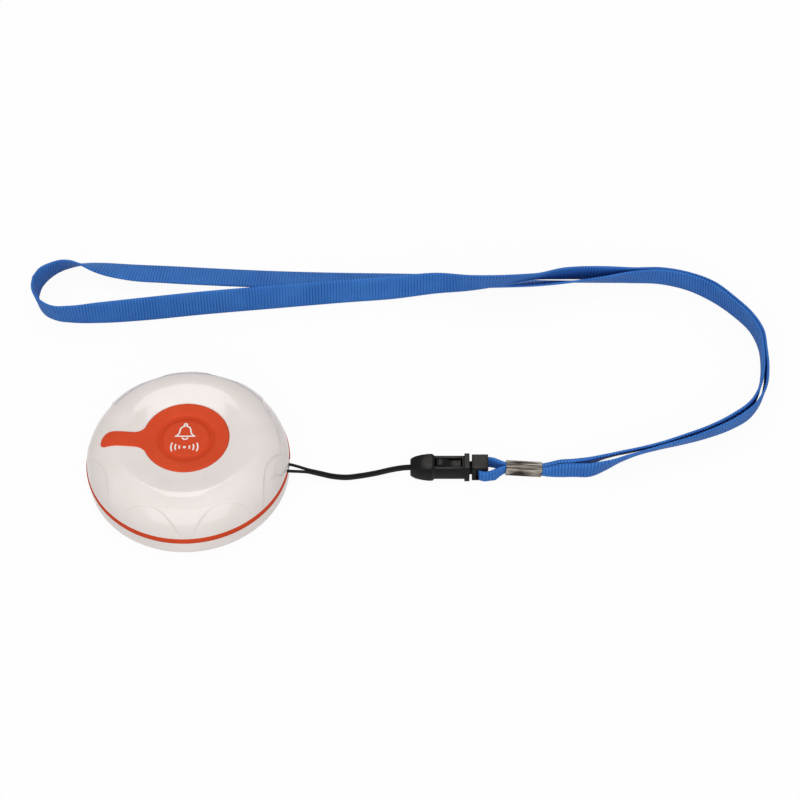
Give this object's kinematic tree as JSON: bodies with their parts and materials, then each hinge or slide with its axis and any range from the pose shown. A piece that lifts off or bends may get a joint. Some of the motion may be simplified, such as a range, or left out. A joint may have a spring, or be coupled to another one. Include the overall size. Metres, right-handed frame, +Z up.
{
  "type": "caregiver call button pendant",
  "caption": "Round white call pendant with a sprung orange silicone push button, grip panels and a seal band, on a thin cord with a quick-release buckle and a woven blue neck strap.",
  "frame": {"origin": "centre of the pendant's flat base, on the table", "axes": "+Z up through the push button, +X towards the lanyard, -X along the pad's tail"},
  "size_m": [0.2275, 0.114, 0.0184],
  "materials": {
    "shell_white": "glossy moulded plastic",
    "silicone_orange": "satin silicone",
    "silicone_groove": "satin silicone, deeper red in the groove",
    "seal_orange": "satin silicone",
    "screw_steel": "bright steel",
    "plunger_white": "natural plastic",
    "board_green": "solder mask",
    "chip_black": "moulded resin",
    "copper": "bare copper",
    "lamp_clear": "clear plastic",
    "cell_steel": "nickel-plated steel",
    "spring_steel": "sprung steel",
    "cord_black": "fine braid",
    "buckle_black": "satin moulded plastic",
    "strap_blue": "ribbed weave",
    "crimp_nickel": "nickel-plated"
  },
  "bodies": {
    "pendant": {"lower_shell": "shell_white", "upper_shell": "shell_white", "seal_band": "seal_orange", "housing_screws": "screw_steel", "button_pad": "silicone_orange", "flex_web": "silicone_groove", "circuit_board": "board_green", "push_switch": "chip_black", "radio_chip": "chip_black", "crystal_can": "cell_steel", "loop_antenna": "copper", "status_led": "lamp_clear", "light_pipe": "lamp_clear", "coin_cell": "cell_steel", "cell_clip": "spring_steel", "cell_contact": "copper", "cord_pin": "screw_steel", "cord_loop": "cord_black", "cord_knot": "cord_black", "buckle_socket": "buckle_black"},
    "button": {"call_button": "silicone_orange", "button_plunger": "plunger_white"},
    "switch": {"switch_stem": "chip_black"},
    "plug": {"buckle_plug": "buckle_black", "anchor_loop": "strap_blue", "strap_crimp": "crimp_nickel", "neck_strap": "strap_blue"},
    "latch": {"latch_arm": "buckle_black"}
  },
  "joints": [
    {"name": "button_press", "type": "slide", "parent": "pendant", "child": "button", "axis": [0, 0, -1], "range_m": [0, 0.0006], "stiffness_N_per_m": 3000, "deforming": ["flex_web"]},
    {"name": "switch_press", "type": "slide", "parent": "pendant", "child": "switch", "axis": [0, 0, -1], "range_m": [0, 0.0006]},
    {"name": "plug_slide", "type": "slide", "parent": "pendant", "child": "plug", "axis": [1, 0, 0], "range_m": [0, 0.012], "deforming": ["latch_arm"]},
    {"name": "latch_press", "type": "hinge", "parent": "plug", "child": "latch", "pos_m": [0.074, 0, 0.00335], "axis": [0, 1, 0], "range_deg": [0, 8], "stiffness_Nm_per_rad": 0.05}
  ],
  "couplings": [
    {"joint": "switch_press", "follows": "button_press", "ratio": 1}
  ]
}
